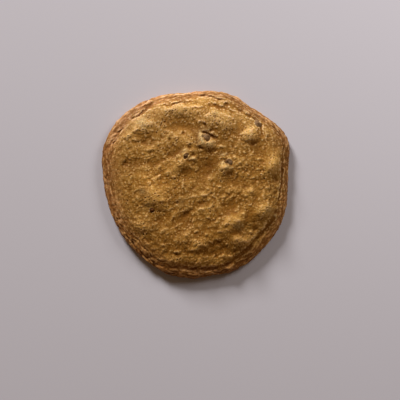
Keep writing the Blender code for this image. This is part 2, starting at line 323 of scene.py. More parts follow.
# Small bumps and hollows of the crumb: x, y, length, width (mm), bearing (degrees), height (mm).
BUMPS = (
    # far left
    (-37.5, 28.2, 2.2, 1.1, 0, 0.35),
    (-34.5, 25.7, 1.2, 1.1, 0, 0.35),
    (-26, 20, 4.5, 1.3, 20, 0.45),
    (-11.3, 26.8, 1.8, 1.7, 0, 0.5),
    (-16.5, 24.7, 1.1, 1.0, 0, 0.35),
    (-14, 29.5, 3.0, 1.4, 40, 0.35),
    (-8, 30, 3.5, 1.3, 5, 0.35),
    (-3, 28.5, 1.5, 1.1, 0, 0.3),
    (-3, 24, 1.6, 1.1, 0, 0.3),
    (-5, 18.3, 2.2, 1.3, 75, 0.5),
    (-7.3, 12.5, 2.3, 1.9, 15, 0.6),
    (-14.5, 13.3, 4.5, 1.1, 25, 0.4),
    (-20.5, 9.8, 3.0, 1.0, 40, 0.3),
    (-9.5, 16, 1.4, 1.0, 0, 0.3),
    (-17.3, 15.5, 1.3, 1.0, 40, 0.3),
    (-0.5, 14, 1.6, 0.9, 0, 0.3),
    (-1.5, 19, 2.0, 0.9, 0, 0.3),
    (-14.7, 6.8, 1.8, 1.6, 0, 0.45),
    (-12, 4, 1.2, 1.1, 0, 0.35),
    (-28.4, 3.3, 1.4, 1.2, 20, 0.4),
    (-26.5, 0.5, 1.6, 1.3, 20, 0.4),
    (-23, 2.5, 2.2, 1.2, 40, 0.4),
    (-20.5, 4.5, 1.6, 1.1, 30, 0.3),
    (-48.5, 19.5, 1.0, 1.0, 0, 0.3),
    # near left
    (-7, -0.5, 1.2, 1.2, 0, 0.3),
    (-9.5, -5, 1.1, 1.0, 0, 0.3),
    (-1.5, -7.4, 2.4, 1.1, 20, 0.4),
    (-15.5, -2.5, 1.6, 1.2, 0, 0.3),
    (-18.5, -10, 1.4, 1.1, 30, 0.4),
    (-32.5, -8, 2.2, 1.3, 10, 0.25),
    (-43.5, -14, 1.8, 1.0, 90, 0.3),
    (-36, -16, 1.1, 1.0, 0, 0.3),
    (-32.5, -19.3, 2.4, 0.9, 10, 0.3),
    (-27.5, -19, 1.3, 0.9, 50, 0.3),
    (-30, -27, 1.1, 1.0, 0, 0.25),
    (-17.2, -26.5, 1.5, 1.1, 20, 0.4),
    (-10.5, -24.4, 3.0, 0.9, 30, 0.3),
    (-12.5, -19, 3.0, 0.9, 50, 0.3),
    (-5, -29.3, 2.5, 1.3, 25, 0.4),
    (-1.5, -38, 2.4, 0.9, 5, 0.3),
    (-9.5, -39, 2.2, 0.9, 10, 0.3),
    (-20.5, -43, 2.5, 0.8, -10, 0.3),
    (-25.3, -40, 1.3, 1.0, -30, 0.3),
    (-32.5, -36.3, 3.0, 0.9, -35, 0.3),
    (-18.5, -38, 1.1, 1.0, 0, 0.25),
    (-18, -35, 1.3, 0.9, 0, 0.25),
    (-13.5, -49.3, 3.5, 0.9, -5, 0.3),
    (-6.5, -50.8, 3.0, 0.8, 0, 0.25),
    # far right
    (2.5, 36.5, 1.6, 1.1, 15, 0.35),
    (15.3, 21.5, 2.0, 1.1, 5, 0.45),
    (28.5, 35.5, 1.3, 1.1, 0, 0.45),
    (12.5, 28, 1.4, 1.1, -20, 0.25),
    (32.5, 31.5, 2.0, 1.6, 40, 0.5),
    (27.5, 29.2, 2.2, 1.3, 20, 0.4),
    (36.8, 14.3, 1.6, 0.8, 5, 0.35),
    (20.5, 14.8, 3.0, 1.1, 10, 0.4),
    (15.5, 15, 1.5, 0.9, 10, 0.3),
    (16, 9.5, 1.6, 1.6, 0, 0.5),
    (31.8, 17, 1.4, 1.3, 0, 0.35),
    (28.5, 17.7, 2.0, 1.0, 0, 0.25),
    (25.5, 12.2, 1.0, 0.9, 0, 0.3),
    (25.5, 9.3, 1.1, 0.9, 0, 0.3),
    (30.5, 5.5, 1.3, 1.1, 10, 0.35),
    (33.5, 3.2, 2.2, 0.9, 30, 0.35),
    (37.8, 5.2, 1.1, 1.0, 0, 0.4),
    (36.3, 8.2, 1.4, 0.9, 10, 0.3),
    (9, 2.9, 2.2, 1.2, 10, 0.5),
    # near right
    (7.3, -3, 1.5, 1.1, 0, 0.45),
    (14.3, -2, 1.3, 1.0, 0, 0.4),
    (5, -6.6, 2.6, 1.0, 10, 0.4),
    (15.5, -8, 1.6, 0.9, 0, 0.3),
    (22, -4, 3.0, 1.3, 10, 0.25),
    (28.8, -7, 1.1, 1.1, 0, 0.3),
    (31.5, -4.4, 1.6, 1.6, 60, 0.5),
    (40.8, -2.5, 1.1, 1.0, 0, 0.4),
    (47.3, -2, 1.6, 1.0, 0, 0.3),
    (38.5, -6.6, 1.8, 1.3, 0, 0.4),
    (36.2, -9, 1.0, 0.9, 0, 0.3),
    (31.5, -12, 1.4, 0.8, 10, 0.3),
    (9, -13.2, 2.2, 1.1, 45, 0.45),
    (3.5, -14.5, 2.2, 0.9, 10, 0.4),
    (12.8, -13, 1.3, 0.9, 90, 0.25),
    (7, -19.4, 1.8, 0.8, -10, 0.4),
    (24.3, -14, 1.4, 1.1, 60, 0.35),
    (27.5, -17.2, 1.5, 1.2, 60, 0.45),
    (12.5, -22, 1.3, 1.1, 0, 0.35),
    (19, -20.5, 3.0, 1.6, 60, 0.5),
    (17, -23.8, 2.2, 1.1, 10, 0.4),
    (24.5, -21.5, 2.0, 1.0, 0, 0.35),
    (29.5, -33, 1.7, 0.9, 20, 0.45),
    (33.5, -30.5, 1.6, 0.9, 45, 0.4),
    (31.3, -28, 1.1, 0.9, 0, 0.3),
    (23.5, -31.2, 2.2, 1.5, 0, 0.4),
    (39.8, -24.2, 2.6, 0.8, 50, 0.3),
    (44.2, -25.5, 2.0, 0.9, 30, 0.3),
    (45.3, -18.3, 0.9, 0.9, 0, 0.4),
    (31.5, -39.3, 1.2, 0.9, 30, 0.3),
    (2.7, -24.5, 1.5, 0.9, 40, 0.3),
    (0.3, -27.3, 1.4, 0.9, 20, 0.3),
    (6.2, -29.3, 1.0, 0.9, 0, 0.35),
    (0.5, -33, 2.2, 1.4, 10, 0.4),
    (4.5, -34.8, 1.8, 1.0, -20, 0.3),
    (1.3, -38, 1.4, 0.8, 0, 0.25),
    (2.3, -45, 1.8, 0.8, 10, 0.3),
    (1, -43, 6.5, 3.4, 0, 0.9),
    # hollows
    (-10, -11, 1.2, 1.0, 0, -0.6),
    (-14.5, 25.8, 0.7, 0.7, 0, -0.4),
    (-6.9, 28.9, 0.8, 0.8, 0, -0.4),
    (9.3, -6.0, 1.4, 0.8, 10, -0.5),
    (4, -11.5, 2.2, 1.0, 20, -0.4),
    (5.7, 33.2, 1.1, 1.0, 0, -0.4),
    (33, 23.8, 3.0, 1.6, 0, -0.6),
    (39, -20, 2.6, 1.5, 30, -0.5),
    (34, -26, 1.5, 1.0, 30, -0.4),
    (-5.5, -18, 3.0, 1.8, 30, -0.4),
    (45.5, 3, 2.2, 1.8, 90, -0.4),
    (12, -34, 3.5, 1.5, 10, -0.5),
    (22, -9, 2.5, 1.5, 40, -0.4),
    (20, 5.5, 3.0, 1.8, 20, -0.5),
    (-40, 11.5, 2.5, 1.5, 40, -0.4),
    (-33, 17, 3.0, 1.2, 30, -0.3),
    (-29, 24, 2.0, 1.5, 0, -0.4),
    (-26, 32.3, 3.5, 1.0, -5, -0.4),
    (26.5, 42.7, 1.8, 1.0, -20, -0.5),
    (45.5, -16.5, 1.0, 1.0, 0, -0.5),
)

# Long ridges and creases: half width, height (mm), then the points that they run through (mm).
LINES = (
    (1.4, 0.5, (-46, 23.5), (-43, 27), (-39.5, 28), (-36, 30.5), (-32, 33.5)),
    (1.1, 0.4, (-35.5, 39.5), (-32.5, 41.3), (-28.5, 44)),
    (1.5, 0.6, (-20.5, 42.3), (-14.5, 43.8), (-9.5, 44.8), (-3.5, 45.3), (1, 45.3), (4.7, 47.2)),
    (1.0, 0.35, (-15.5, 47.3), (-10.5, 48)),
    (1.8, 0.7, (6, 37.5), (8, 40), (11, 41.5), (15, 41), (19, 39), (22, 36.5)),
    (0.7, 0.35, (40.8, 32), (41, 28), (40.5, 23.5)),
    (0.9, 0.4, (35.5, -38), (37.5, -35), (39, -32)),
    (0.8, 0.35, (17, -49.5), (20.5, -47.7), (24, -46)),
    (0.9, 0.45, (10, -47), (13.5, -45.3), (17, -44.2)),
    (0.9, 0.4, (13, -42), (16.5, -42), (20.5, -40.6)),
    (0.8, 0.35, (6.5, -44.2), (9, -42.5), (11.5, -39.5)),
    (0.6, -0.6, (-50, 22), (-46.5, 24.7), (-44.5, 28.5), (-42, 32.5), (-40, 35.5)),
    (0.7, -0.7, (-39.5, 36), (-36, 38), (-32.5, 40.2), (-30, 42.5), (-26.5, 44.8), (-23, 45.2)),
    (0.6, -0.6, (-20, 45.7), (-14, 46.2), (-9.5, 47.3), (-5, 47.9), (0, 48.8)),
    (0.6, -0.6, (0, 50.9), (7, 51.9), (13, 50.4), (19, 48.7)),
    (0.9, -0.55, (6, 46), (12, 45.7), (17, 44.8), (21, 42.5), (24, 40.3)),
    (1.3, -0.55, (16, 47.2), (22, 46), (26, 44), (29, 42.5)),
    (0.8, -0.45, (28, 40.5), (33, 39), (36, 36.5), (38, 33.5), (38.5, 30), (38, 26)),
    (1.0, -0.5, (45, -19), (42, -23), (38.5, -27), (35, -31), (29, -37.5), (23, -42.8)),
    (0.9, -0.45, (23, -42.8), (18, -45.6), (12, -47.6), (5, -49), (-3, -48.7), (-10, -46.8)),
    (0.6, -0.6, (-41, -27), (-37.5, -32), (-33, -37), (-28, -41.5), (-22, -45.5), (-15, -47.5)),
    (0.5, -0.4, (-51, 15), (-50, 9), (-50.5, 3), (-49.5, -4)),
    (0.5, -0.4, (49.5, 18), (49.8, 10), (49.2, 1), (48, -9), (46, -15)),
)
LINE_ENDS = 5  # a line fades out over a fifth of its length at each end

# The dough pushed up and torn round the chips, measured from the origin: x, y, length, width (mm), bearing
# (degrees), height (mm).
TORN = (
    (2.5, 25.4, 1.9, 0.9, 95, 0.8),
    (3.0, 22.6, 2.0, 0.9, 110, 0.8),
    (4.9, 21.0, 1.8, 0.9, -5, 0.6),
    (8.2, 21.4, 2.3, 1.7, 20, 0.9),
    (6.8, 16.6, 4.2, 1.7, 10, -0.8),
    (2.4, 18.3, 1.8, 0.7, -20, -1.0),
    (0.3, 20.9, 1.0, 0.6, -60, -0.4),
    (4.2, 27.2, 1.8, 0.55, -8, -0.9),
    (7.4, 25.9, 2.2, 0.8, -35, -1.1),
    (9.7, 24.5, 1.9, 0.9, -30, -0.9),
    (4.6, 31.8, 1.3, 0.7, -10, -0.6),
    (9.0, 28.6, 2.2, 0.9, 10, -0.5),
    (-7.5, 27.3, 0.9, 0.8, 0, -0.6),
    (-3.8, 18.6, 1.0, 0.8, 0, -0.5),
    (-1.9, 14.6, 0.9, 0.8, 0, -0.6),
    (-6.6, 16.9, 1.6, 0.8, 20, 0.4),
    (-2.0, 12.3, 1.4, 0.9, 10, 0.5),
    (-5.0, 10.2, 3.0, 1.5, 10, -0.4),
    (14.6, 9.5, 1.3, 1.2, 0, 0.4),
    (16.3, 7.6, 1.5, 1.0, 20, 0.5),
    (16.0, 14.8, 1.6, 0.7, 10, 0.35),
    (21.3, 12.6, 1.0, 0.8, 0, 0.35),
    (19.4, 8.9, 1.8, 0.6, 10, -0.5),
    (-24.4, -16.6, 1.6, 1.5, 0, -0.5),
)

# Pale dough smeared up round the chips, and a few painted highlights: x, y, length, width (mm), bearing
# (degrees), strength.
SMEARS_AND_HIGHLIGHTS = (
    (3.0, 27.8, 2.6, 1.1, 95, 1.0),
    (4.2, 24.4, 2.2, 1.0, 115, 1.0),
    (8.5, 22.8, 1.8, 1.4, 20, 0.7),
    (-6.2, 19.0, 1.8, 1.0, 20, 0.7),
    (-1.3, 14.6, 1.5, 1.0, 0, 0.6),
    (16.2, 11.5, 1.5, 1.3, 0, 0.5),
    (17.8, 9.8, 1.4, 0.9, 20, 0.6),
    (16.2, 16.8, 2.2, 0.8, 10, 0.5),
    # The last three are not dough: two painted highlights and a painted glint.
    (-31.0, 36.8, 2.8, 1.3, 25, 0.9),
    (45.3, -18.3, 0.7, 0.7, 0, 0.7),
    (12.0, 41.5, 2.2, 1.0, 0, 0.5),
)

# Faint grey-green stains, from chocolate just under the crust, in the same terms.
STAINS = (
    (-30.3, 34.0, 2.2, 1.4, 20, 0.7),
    (-29.8, -4.7, 2.6, 2.0, 0, 0.7),
    (24.0, -24.6, 2.3, 1.8, 0, 0.7),
    (42.0, -15.0, 2.2, 1.7, 0, 0.7),
    (11.4, 39.9, 1.9, 1.2, 0, 0.5),
    (-8.0, -11.0, 2.6, 2.0, 0, 0.4),
    (19.5, 8.8, 2.4, 1.3, 10, 0.6),
    (-27.0, -12.5, 3.2, 2.2, 20, 0.4),
    (1.5, 23.3, 1.0, 2.0, 0, 0.5),
    (6.0, 32.0, 3.0, 1.5, 0, 0.4),
)

# Patches that make the crust paler or darker, in the same terms. Some are its own uneven bake. Others are
# painted shade, as below a lump and along the right-hand edge, and painted light, as along the far rim.
BAKES_AND_PAINTED_LIGHT = (
    (-24, 2, 13, 7, 15, 0.75),
    (-20, -12, 9, 4, 10, 0.50),
    (-10, 4, 6, 5, 0, 0.25),
    (0, -45, 7, 3, 0, 0.60),
    (20, -27, 4, 2.5, 50, 0.70),
    (26, -32.5, 4, 2, 20, -0.55),
    (27, 22.5, 3, 1.5, -10, -0.40),
    (41, -1, 4, 2, 0, -0.40),
    (42, -10, 2.5, 2, 0, -0.30),
    (-13, 42.5, 5, 1.5, 0, -0.35),
    (-37, 37, 3, 2, 40, -0.30),
    (-9, -42, 3, 2, 0, -0.30),
    (12, 45, 3, 2, 0, 0.30),
    (-40, 0, 3, 4, 0, 0.30),
    (4, -9, 4, 1.5, 25, 0.35),
    (18, 6, 2, 2, 0, 0.30),
    (-26, -24, 5, 2.5, 0, -0.60),
    (-29, -30, 4, 2, 0, 0.25),
    (-35, 26, 3.5, 2.5, 30, 0.45),
    (-43, 14, 3, 3, 0, -0.30),
    (-32, 35, 3, 2, 30, -0.30),
    (13, 37, 3, 2.5, 0, -0.35),
    (-15, 50, 17, 3.5, 12, 1.4),
    (-29, 43, 6, 4, 40, 0.30),
    (-7, 32, 6, 3, 0, 0.60),
    (-10, 39, 5, 2, 0, 0.30),
    (4, 48, 9, 5, 0, 1.15),
    (0, -48, 12, 4, 0, 0.30),
    (24, 47, 6, 3, -30, 0.30),
    (20, 37, 4, 2.5, 0, 0.25),
    (41, 14, 5, 4, 40, 0.40),
    (52, 2, 7, 18, 0, -0.50),
    (49, 25, 7, 8, 30, -0.85),
    (-50, 3, 13, 20, 0, -0.85),
    (-42, -27, 7, 12, 35, -0.35),
    (35, -7, 9, 4, 15, 0.25),
    (17, -13, 7, 4, 0, 0.20),
    (28, -19, 7, 3, 55, 0.20),
    (9.8, 27.2, 2.4, 1.3, -35, -0.8),
    (4.5, 25.5, 5.5, 4.5, -20, -0.85),
    (10, 12, 4, 8, 60, -0.25),
    (2, 2, 4, 3, 0, -0.20),
    (-3, -25, 5, 3, 30, -0.15),
)

# Where the crumb is full of small open pores, in the same terms.
PORE_PATCHES = (
    (-9, 26, 12, 9, 20, 0.6),
    (-24, 38, 9, 7, 30, 0.6),
    (30, 30, 8, 6, 0, 0.6),
)


def patch(x, y, length, width, bearing):
    """1 at a place on the crown, fading out over an oval."""
    return np.exp(-oval(x_mm, y_mm, x, y, length, width, bearing))


def patch_sum(patches):
    """The patches of a list added up, each times its strength."""
    return sum(strength * patch(*size) for *size, strength in patches)


def strongest(patches):
    """The strongest of a list's patches at each place."""
    return np.max([strength * patch(*size) for *size, strength in patches], axis=0)


def around(bearing, width):
    """1 on a bearing, fading out to its sides. Both are in degrees."""
    gap = (crust.bearing - math.radians(bearing) + math.pi) % FULL_TURN - math.pi
    return np.exp(-((gap / math.radians(width)) ** 2))


def line(points, width, shift_x, shift_y):
    """1 along a line through the points, fading out to its sides and towards its ends."""
    lengths = [math.dist(a, b) for a, b in zip(points, points[1:])]
    nearest = np.full(x_mm.shape, np.inf)
    share = np.zeros(x_mm.shape)
    x, y = x_mm + shift_x, y_mm + shift_y
    for i, ((x0, y0), (x1, y1)) in enumerate(zip(points, points[1:])):
        t = np.clip(((x - x0) * (x1 - x0) + (y - y0) * (y1 - y0)) / lengths[i] ** 2, 0, 1)
        gap = np.hypot(x - x0 - t * (x1 - x0), y - y0 - t * (y1 - y0))
        along = (sum(lengths[:i]) + t * lengths[i]) / sum(lengths)
        share = np.where(gap < nearest, along, share)
        nearest = np.minimum(nearest, gap)
    ends = smooth_step(np.minimum(share, 1 - share) * LINE_ENDS)
    return ends * np.exp(-((nearest / width) ** 2))


# ---------------------------------------------------------------- relief

# Height of each kind of relief, in mm.
WRINKLE = 0.38
FINE_WRINKLE = 0.24
THREAD = 0.20
CREASE = 0.38
FLAKE = 0.38
BULGE = 0.38
DOME = 0.56
COBBLE = 0.42
GRAIN = 0.07
STREAK = 0.10
PORE = 0.65

# The rim, in mm inward from the waist. It is wider on the left.
RIM_START = 3.0
RIM_WIDTH = 8.0
RIM_WIDER = 4.0
LEFT_TURN = math.radians(15)  # from -X to where the rim is widest
RING_RADIUS = 53  # mm, of the ring that the rim's patterns are laid on
WANDER = 1.6  # mm that the wrinkles stray inward and outward
FINE_WANDER = 0.7
CREASE_WIDTH = 0.14  # value of the wrinkles within which they crease
CREASE_SHARPNESS = 1.5
THREAD_TONE = 0.5  # how much the threads and the fine wrinkles count in the rim's colour
FINE_WRINKLE_TONE = 0.7
CALM = (135, 40)  # bearing and width (degrees) of the part with weaker creases and flakes
CALM_CREASE = 0.6  # share of the creases that goes there
CALM_FLAKE = 0.12  # mm less of flakes there

# What was placed one by one. It is a little higher than its own figures.
BUMP_GAIN = 1.15
RIDGE_GAIN = 1.3
GROOVE_GAIN = 1.9
JITTER = 1.1  # mm
LINE_JITTER = 0.9  # how much of the jitter moves a line
LINE_FINE_SHIFT = 0.5  # mm
LINE_LEAST = 0.45  # share of its height that a line keeps where it breaks off
BROKEN = (1.6, 0.5)  # contrast and level of the pattern that breaks the lines

# The crown. Its lumps' tops burst open in small pores, and the hollows between them kept a smoother skin.
LUMP_PASSES = 150  # smoothing that leaves only the crown's overall shape
LUMP_HEIGHT = 0.7  # mm, where a place counts as fully raised or sunk
BEND = 0.6  # how much of the jitter bends the crumb's cells
BULGE_LEVEL = 0.45  # value of the bulges that counts as level
STREAK_BEARING = 27  # degrees
STREAK_STRETCH = 2.2
STREAK_START, STREAK_RUN = -8, 20  # mm towards -Y where the streaks begin and come in
COARSE = (1.5, 0.5)  # contrast and level of the pattern that makes the crumb coarser
DOME_LEAST = 0.55  # share of the domes where the crumb is finest
COBBLE_LEAST = 0.75
PORED = (1.2, 0.15)  # contrast and level of the pattern that spreads the pores
RAISED_PORES = 0.7  # how much more likely pores are on the lumps' tops
PORE_RADIUS = 0.30  # as a share of the pores' cells
PORE_SHARPNESS = 0.8
RIM_PORES = 0.3  # depth of the pores on the rim, as a share
RIM_CRUMB = 0.45  # height of the crumb on the rim, as a share
SUNK_LOSS = {"pores": 0.7, "bulges": 0.4, "cells": 0.5}  # share that goes in the hollows
PORED_LOSS = 0.4  # share of the cells that goes among the pores

# Sweep (degrees) where the whole relief ends towards the underside, and where the chosen forms end.
RELIEF_END, RELIEF_FADE = 150, 40
CHOSEN_END, CHOSEN_FADE = 75, 30
OPENING_LOSS = 0.7  # share of the relief that goes in a chip's opening

# The edge swells a little on the far left, and draws in on the right: height (mm), bearing, width (degrees).
SWELL = (0.75, 140, 55)
DRAW_IN = (0.80, 0, 26)

ring = np.stack([
    np.cos(crust.bearing) * RING_RADIUS * MM,
    np.sin(crust.bearing) * RING_RADIUS * MM,
    crust.inward,
], axis=-1)
left = np.clip(-np.cos(crust.bearing - LEFT_TURN), 0, 1)
crown = rising(inward_mm, RIM_START, RIM_WIDTH + RIM_WIDER * left)
above = smooth_step((math.radians(RELIEF_END) - crust.sweep) / math.radians(RELIEF_FADE))
on_top = smooth_step((math.radians(CHOSEN_END) - crust.sweep) / math.radians(CHOSEN_FADE))
jitter_x = JITTER * pattern("jitter x", plan)
jitter_y = JITTER * pattern("jitter y", plan)


def rim_wrinkles():
    """Wrinkles along the edge: their relief, and paler and darker threads, partly painted highlight and shade.
    """
    wander = pattern("wander", ring) * WANDER * MM + pattern("fine wander", ring) * FINE_WANDER * MM
    at = ring + np.stack([0 * wander, 0 * wander, wander], axis=-1)
    wrinkles = pattern("wrinkles", at)
    fine_wrinkles = pattern("fine wrinkles", at)
    threads = pattern("threads", at)
    calm = around(*CALM)
    crease = np.clip(1 - abs(wrinkles) / CREASE_WIDTH, 0, 1) ** CREASE_SHARPNESS * (1 - CALM_CREASE * calm)
    relief = WRINKLE * wrinkles + FINE_WRINKLE * fine_wrinkles + THREAD * threads
    relief += (FLAKE - CALM_FLAKE * calm) * cell_domes("flakes", at) - CREASE * crease
    return relief * (1 - crown), THREAD_TONE * threads + FINE_WRINKLE_TONE * fine_wrinkles


def chosen_forms():
    """Bumps, hollows, ridges and creases that stand out one by one. The lines wander a little."""
    relief = np.zeros(x_mm.shape)
    for *size, height in BUMPS:
        relief += BUMP_GAIN * height * patch(*size)
    for *size, height in TORN:
        relief += height * np.exp(-oval(plan[..., 0] / MM, plan[..., 1] / MM, *size))
    shift_x = LINE_JITTER * jitter_x + LINE_FINE_SHIFT * pattern("fine shift x", plan)
    shift_y = LINE_JITTER * jitter_y + LINE_FINE_SHIFT * pattern("fine shift y", plan)
    broken = at_least(LINE_LEAST, smooth_step(levelled("broken", plan, *BROKEN)))
    for width, height, *points in LINES:
        gain = RIDGE_GAIN if height > 0 else GROOVE_GAIN
        relief += gain * height * broken * line(points, width, shift_x, shift_y)
    return relief * on_top


def crown_pores(raised, sunk):
    """The small open pores, and the parts of the crown that have them."""
    zone = levelled("pore zone", plan, *PORED) + RAISED_PORES * raised + patch_sum(PORE_PATCHES)
    zone = smooth_step(zone) * (1 - SUNK_LOSS["pores"] * sunk)
    pores = np.clip(1 - pattern("pores", plan) / PORE_RADIUS, 0, 1) ** PORE_SHARPNESS * zone
    return pores, zone


def crumb():
    """The crown's crumb: its relief, its pores, and where the pores are.

    It has soft bulges with creases between them, domes, cobbles, a fine grain and faint streaks.
    """
    rise = (crust.depth - soften(crust.depth, LUMP_PASSES)) / MM / LUMP_HEIGHT
    raised = smooth_step(rise) * crown
    sunk = smooth_step(-rise) * crown
    pores, zone = crown_pores(raised, sunk)

    bent = plan + np.stack([jitter_x, jitter_y, 0 * jitter_x], axis=-1) * BEND * MM
    along, across = turned(plan[..., 0], plan[..., 1], STREAK_BEARING)
    streak_at = np.stack([along / STREAK_STRETCH, across, plan[..., 2]], axis=-1)
    lower = rising(-y_mm, STREAK_START, STREAK_RUN)
    coarse = smooth_step(levelled("coarse", plan, *COARSE))
    cells = DOME * cell_domes("domes", bent) * at_least(DOME_LEAST, coarse)
    cells += COBBLE * cell_domes("cobbles", bent) * at_least(COBBLE_LEAST, coarse)
    cells *= (1 - SUNK_LOSS["cells"] * sunk) * (1 - PORED_LOSS * zone)

    relief = BULGE * (pattern("bulges", bent) - BULGE_LEVEL) * (1 - SUNK_LOSS["bulges"] * sunk) + cells
    relief += GRAIN * pattern("grain", plan) + STREAK * pattern("streaks", streak_at) * lower
    relief -= PORE * pores * at_least(RIM_PORES, crown)
    return relief * at_least(RIM_CRUMB, crown), pores, zone


def edge_swell():
    (swell, *swell_at), (draw_in, *draw_in_at) = SWELL, DRAW_IN
    return (swell * around(*swell_at) - draw_in * around(*draw_in_at)) * np.sin(crust.sweep) ** 2


rim_relief, threads = rim_wrinkles()
crumb_relief, pores, pore_zone = crumb()
relief = rim_relief + chosen_forms() + crumb_relief + edge_swell()
relief *= MM * above * (1 - OPENING_LOSS * crust.shown)

surface = crust.base + crust.way * relief[..., None]
surface[..., 2] = np.maximum(surface[..., 2], 0)


# ---------------------------------------------------------------- the crust's mesh

# What the material reads as high or deep, for the painted highlights on tops and the painted shade in hollows:
# passes of smoothing, and the depth that counts as full.
NEAR_PASSES, NEAR_DEPTH = 2, 0.10 * MM
MIDDLE_PASSES, MIDDLE_DEPTH = 16, 0.30 * MM
WIDE_PASSES, WIDE_DEPTH = 120, 0.9 * MM

# The rim's own colour (mm inward from the waist), and the darker line along the edge.
RIM_COLOR_START = 2.5
RIM_COLOR_WIDTH = 6.0
RIM_COLOR_WIDER = 6.0
EDGE_COLOR_WIDTH = 2.4
FAR_EDGE_LOSS = 0.15  # share of that line that goes at the far edge

# Painted shade darkens the crust towards the near edge, which faces away from the light, and painted light
# makes it
# paler towards the far one: start and run (mm).
NEAR_SHADE = (12, 26)
PALE = (14, 28)
FAR_EDGE = (20, 20)

UNDERSIDE_INSET = 0.5 * MM
PIT_DEPTH = 0.5 * MM
PIT_ENDS = 12  # the pits fade out over a twelfth of the radius at the edge
# How strongly painted shade darkens the underside's pits, through the middle depth that the material reads.
UNDERSIDE_PIT_SHADE = 2.0
SCORCHED = (0.9, 0.2)  # contrast and level of the browned patches
SCORCH_DARKNESS = 0.7


def crust_looks():
    """What the material reads at each point of the crust."""
    depth = crust.depth + relief
    near, middle, wide = (soften(depth, passes) for passes in (NEAR_PASSES, MIDDLE_PASSES, WIDE_PASSES))
    return {
        "fine_cavity": np.clip((near - depth) / NEAR_DEPTH, -1, 1),
        "middle_cavity": np.clip((middle - near) / MIDDLE_DEPTH, -1, 1),
        "wide_cavity": np.clip((wide - middle) / WIDE_DEPTH, -1, 1),
        "rim": 1 - rising(inward_mm, RIM_COLOR_START, RIM_COLOR_WIDTH + RIM_COLOR_WIDER * left),
        "edge": (1 - rising(inward_mm, 0, EDGE_COLOR_WIDTH)) * (1 - FAR_EDGE_LOSS * rising(y_mm, *FAR_EDGE)),
        "pore": pores,
        "pore_zone": pore_zone * crown,
        "thread": threads,
        "smear_and_highlight": strongest(SMEARS_AND_HIGHLIGHTS),
        "stain": strongest(STAINS),
        "bake_and_painted_light": patch_sum(BAKES_AND_PAINTED_LIGHT),
        # Painted shade on the near side, which faces away from the light; the underside's own browning below.
        "browned_and_shaded": rising(-y_mm, *NEAR_SHADE),
        # Painted light on the far side, which faces the light.
        "pale": rising(y_mm, *PALE),
    }


def underside(rows, columns):
    """Points of the flat underside within the crust's border, and what the material reads there."""
    share, bearing = disc_grid(UNDERSIDE_CELLS)
    edge_bearing = crust.bearing[rows, columns] % FULL_TURN
    edge_radius = np.hypot(surface[rows, columns, 0], surface[rows, columns, 1])
    order = np.argsort(edge_bearing)
    edge = np.interp(bearing % FULL_TURN, edge_bearing[order], edge_radius[order], period=FULL_TURN)
    radius = share * (edge - UNDERSIDE_INSET)
    points = np.stack([radius * np.cos(bearing), radius * np.sin(bearing), 0 * radius], axis=-1)
    pits = np.clip(pattern("pits", points), 0, 1)
    scorch = np.clip(levelled("scorch", points, *SCORCHED), 0, 1)
    points[..., 2] = pits * PIT_DEPTH * smooth_step((1 - share) * PIT_ENDS)
    return points, {
        # Painted shade in the pits.
        "middle_cavity": UNDERSIDE_PIT_SHADE * pits,
        "bake_and_painted_light": -SCORCH_DARKNESS * scorch,
        "rim": 1.0,
        "edge": 1.0,
        "browned_and_shaded": 1.0,
    }


def grid_index(cells, first=0):
    """Point numbers of a square grid."""
    return first + np.arange((cells + 1) ** 2).reshape(cells + 1, cells + 1)


def grid_faces(index):
    """The grid's quads, by their points' numbers."""
    return np.stack([index[:-1, :-1], index[1:, :-1], index[1:, 1:], index[:-1, 1:]], axis=-1).reshape(-1, 4)


def join(fine_ring, coarse_ring):
    """Triangles between the crust's border and the underside's, which has fewer points."""
    step = len(fine_ring) // len(coarse_ring)
    strip = []
    for j, low in enumerate(coarse_ring):
        next_low = coarse_ring[(j + 1) % len(coarse_ring)]
        tops = [fine_ring[(j * step + k) % len(fine_ring)] for k in range(step + 1)]
        for k in range(step):
            strip.append((tops[k + 1], tops[k], low if k < step // 2 else next_low))
            if k == step // 2 - 1:
                strip.append((tops[k + 1], low, next_low))
    return strip


def build_crust():
    rows, columns = border(CRUST_CELLS)
    low_points, low_looks = underside(rows, columns)
    points = np.concatenate([surface.reshape(-1, 3), low_points.reshape(-1, 3)])
    top = grid_index(CRUST_CELLS)
    low = grid_index(UNDERSIDE_CELLS, top.size)
    # The underside's quads turn the other way, so that they face down.
    faces = grid_faces(top).tolist() + grid_faces(low)[:, [0, 3, 2, 1]].tolist()
    faces += join(top[rows, columns], low[border(UNDERSIDE_CELLS)])

    mesh = bpy.data.meshes.new("crumb_crust")
    mesh.from_pydata(points.tolist(), [], faces)
    mesh.shade_smooth()
    mesh.update()
    for name, values in crust_looks().items():
        below = np.broadcast_to(low_looks.get(name, 0.0), low.shape)
        layer = mesh.attributes.new(name, "FLOAT", "POINT")
        layer.data.foreach_set("value", np.concatenate([values.ravel(), below.ravel()]).astype(np.float32))

    obj = bpy.data.objects.new("crumb_crust", mesh)
    bpy.context.scene.collection.objects.link(obj)
    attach(obj, "root")
    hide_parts(COOKIE)
    return obj


# ---------------------------------------------------------------- materials


